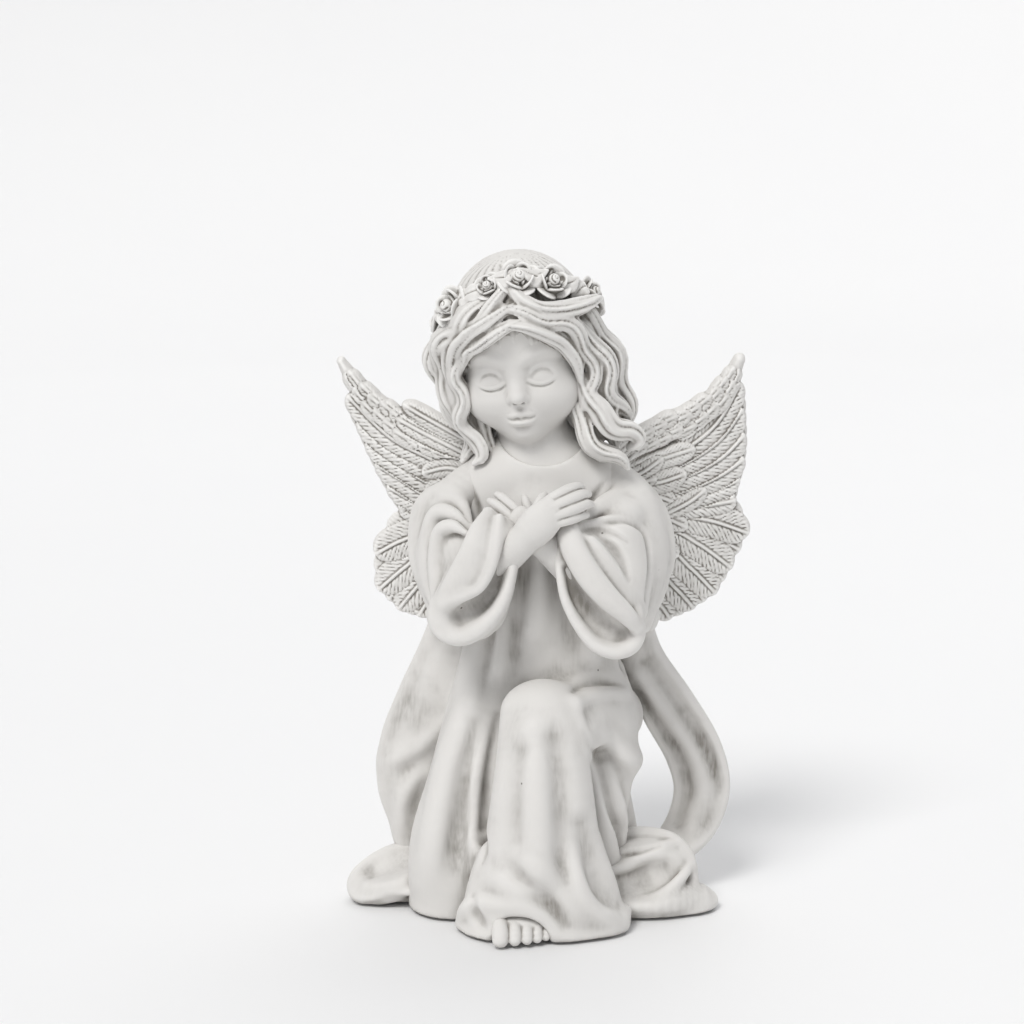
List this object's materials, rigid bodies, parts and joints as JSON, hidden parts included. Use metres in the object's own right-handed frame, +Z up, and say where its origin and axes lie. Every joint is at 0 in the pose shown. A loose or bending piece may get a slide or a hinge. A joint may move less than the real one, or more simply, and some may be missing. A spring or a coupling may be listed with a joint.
{
  "type": "angel figurine",
  "caption": "Kneeling child angel cast in off-white resin: bowed head with a rose garland, arms crossed on the chest, feathered wings, draped robe and a looping sash.",
  "frame": {"origin": "middle of the bounding box in plan, on the surface that the figurine stands on", "axes": "+X towards the angel's own left, +Y backwards, +Z up; the figurine faces -Y"},
  "size_m": [0.1274, 0.0984, 0.2007],
  "materials": {
    "resin_robe": "matte cast resin with a warm grey antique wash in the folds",
    "resin_skin": "smooth matte cast resin",
    "resin_hair": "matte cast resin with a warm grey antique wash between the strands",
    "resin_garland": "matte cast resin with a brown antique wash between the petals",
    "resin_wings": "matte cast resin with a brown antique wash between the feathers",
    "resin_sash": "matte cast resin with brushed streaks of antique wash",
    "felt": "short-pile felt"
  },
  "bodies": {
    "root": {"robe": "resin_robe", "base_felt": "felt", "left_foot": "resin_skin", "head": "resin_skin", "hair": "resin_hair", "garland_band": "resin_garland", "right_wing": "resin_wings", "left_wing": "resin_wings", "left_hand": "resin_skin", "right_hand": "resin_skin", "right_sleeve": "resin_robe", "left_sleeve": "resin_robe", "sash_back": "resin_sash", "sash_right": "resin_sash", "sash_left": "resin_sash", "right_pool": "resin_robe", "left_pool": "resin_robe", "rose_1": "resin_garland", "rose_2": "resin_garland", "rose_3": "resin_garland", "rose_4": "resin_garland", "rose_5": "resin_garland", "rose_6": "resin_garland", "rose_7": "resin_garland", "rose_8": "resin_garland", "rose_9": "resin_garland"}
  },
  "joints": []
}
